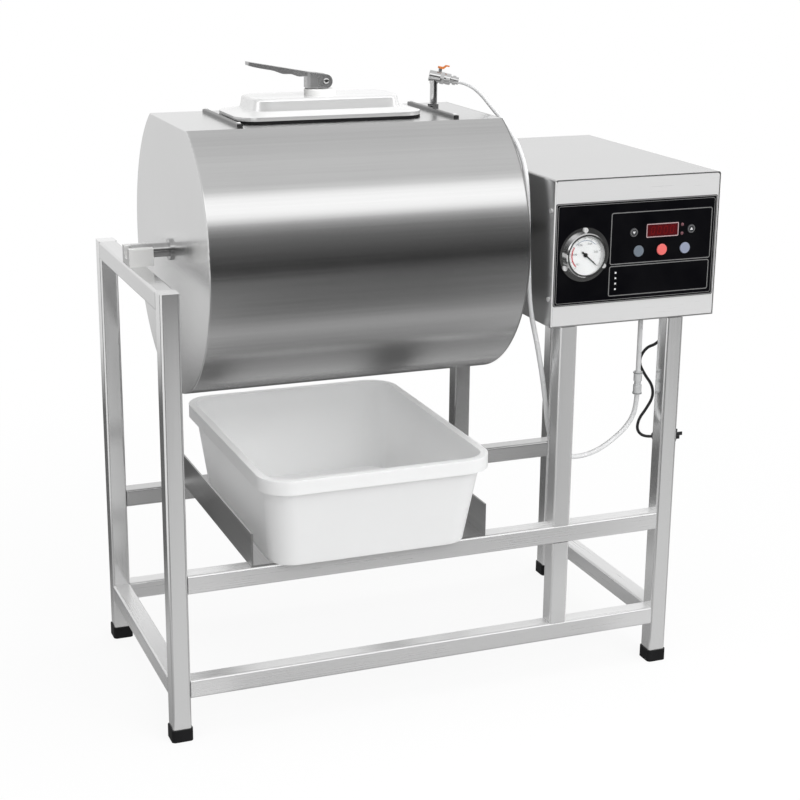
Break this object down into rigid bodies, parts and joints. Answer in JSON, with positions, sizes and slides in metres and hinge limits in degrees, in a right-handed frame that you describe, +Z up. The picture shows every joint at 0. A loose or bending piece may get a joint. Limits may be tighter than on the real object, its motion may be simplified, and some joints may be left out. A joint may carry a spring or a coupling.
{
  "type": "meat vacuum tumbler",
  "caption": "Meat vacuum tumbler: a stainless drum with a clamped hatch lid turns on a tube stand, driven from a control box, over a pull-out drain tray.",
  "frame": {"origin": "on the floor under the middle of the machine's box", "axes": "+X along the drum's axis towards the control box, +Z up, the front panel faces -Y"},
  "size_m": [0.9244, 0.51, 1.0111],
  "materials": {
    "stainless_tube": "brushed along the tube, rounded corners",
    "stainless_sheet": "brushed sheet",
    "bright_metal": "polished",
    "black_rubber": "matt",
    "white_nylon": "machined",
    "overlay_film": "gloss",
    "red_window": "clear gloss",
    "board": "printed board",
    "white_dial": "printed",
    "clear_lens": "clear",
    "black_needle": "painted",
    "cast_grey": "painted casting",
    "motor_paint": "painted casting",
    "black_plastic": "moulded",
    "clear_hose": "clear and milky",
    "hose_joint": "moulded",
    "tray_plastic": "milky moulded",
    "orange_plastic": "moulded",
    "arrow_key": "soft",
    "grey_key": "soft",
    "red_key": "soft",
    "blue_key": "soft"
  },
  "bodies": {
    "frame": {"leg_front_left": "stainless_tube", "leg_back_left": "stainless_tube", "leg_front_right": "stainless_tube", "leg_back_right": "stainless_tube", "post_front_upper": "stainless_tube", "post_front_lower": "stainless_tube", "post_back": "stainless_tube", "rail_bottom_front": "stainless_tube", "rail_bottom_back": "stainless_tube", "rail_bottom_left": "stainless_tube", "rail_bottom_right": "stainless_tube", "rail_middle_front": "stainless_tube", "rail_middle_back": "stainless_tube", "rail_top_left": "stainless_tube", "runner_left": "stainless_sheet", "runner_right": "stainless_sheet", "foot_caps": "black_rubber", "bearing_block": "white_nylon", "box_cover": "stainless_sheet", "box_base": "stainless_sheet", "box_front": "stainless_sheet", "panel_overlay": "overlay_film", "display_window": "red_window", "control_board": "board", "gauge_case": "bright_metal", "gauge_dial": "white_dial", "gauge_lens": "clear_lens", "panel_screws": "bright_metal", "flange_bearing": "cast_grey", "gear_motor": "motor_paint", "vacuum_pump": "motor_paint", "hose_fitting": "bright_metal", "cable_gland": "black_plastic", "vacuum_hose": "clear_hose", "hose_connector": "hose_joint", "power_cord": "black_rubber", "power_plug": "black_plastic"},
    "drum": {"drum_shell": "stainless_sheet", "drum_end_left": "stainless_sheet", "drum_end_right": "stainless_sheet", "drum_fins": "stainless_sheet", "stub_shaft": "bright_metal", "drive_shaft": "bright_metal", "lid_stops": "stainless_sheet", "stop_screws": "bright_metal", "valve_pipe": "bright_metal", "valve_body": "bright_metal"},
    "lid": {"hatch_lid": "stainless_sheet", "lid_gasket": "black_rubber", "thrust_washer": "white_nylon"},
    "clamp": {"clamp_spindle": "bright_metal"},
    "lever": {"cam_lever": "bright_metal"},
    "handle": {"valve_handle": "orange_plastic"},
    "needle": {"gauge_needle": "black_needle"},
    "tray": {"drain_tray": "tray_plastic"},
    "key_down": {"button_down": "arrow_key"},
    "key_up": {"button_up": "arrow_key"},
    "key_set": {"button_set": "grey_key"},
    "key_stop": {"button_stop": "red_key"},
    "key_start": {"button_start": "blue_key"}
  },
  "joints": [
    {"name": "drum_spin", "type": "hinge", "parent": "frame", "child": "drum", "pos_m": [-0.1315, 0.025, 0.728], "axis": [1, 0, 0], "continuous": true},
    {"name": "lid_lift", "type": "slide", "parent": "drum", "child": "lid", "axis": [0, 0, 1], "range_m": [0, 0.09]},
    {"name": "clamp_turn", "type": "hinge", "parent": "lid", "child": "clamp", "pos_m": [-0.141, 0.025, 0.9583], "axis": [0, 0, 1], "range_deg": [0, 90]},
    {"name": "lever_swing", "type": "hinge", "parent": "clamp", "child": "lever", "pos_m": [-0.135, 0.025, 0.9796], "axis": [0, 1, 0], "range_deg": [0, 100]},
    {"name": "valve_turn", "type": "hinge", "parent": "drum", "child": "handle", "pos_m": [0.07551, 0.05457, 0.98908], "axis": [-0.1667, 0.0777, -0.9829], "range_deg": [0, 90]},
    {"name": "needle_swing", "type": "hinge", "parent": "frame", "child": "needle", "pos_m": [0.22, -0.1974, 0.721], "axis": [0, -1, 0], "range_deg": [0, 270]},
    {"name": "tray_slide", "type": "slide", "parent": "frame", "child": "tray", "axis": [0, -1, 0], "range_m": [0, 0.4]},
    {"name": "press_down", "type": "slide", "parent": "frame", "child": "key_down", "axis": [0, 1, 0], "range_m": [0, 0.001], "stiffness_N_per_m": 600},
    {"name": "press_up", "type": "slide", "parent": "frame", "child": "key_up", "axis": [0, 1, 0], "range_m": [0, 0.001], "stiffness_N_per_m": 600},
    {"name": "press_set", "type": "slide", "parent": "frame", "child": "key_set", "axis": [0, 1, 0], "range_m": [0, 0.001], "stiffness_N_per_m": 600},
    {"name": "press_stop", "type": "slide", "parent": "frame", "child": "key_stop", "axis": [0, 1, 0], "range_m": [0, 0.001], "stiffness_N_per_m": 600},
    {"name": "press_start", "type": "slide", "parent": "frame", "child": "key_start", "axis": [0, 1, 0], "range_m": [0, 0.001], "stiffness_N_per_m": 600}
  ]
}
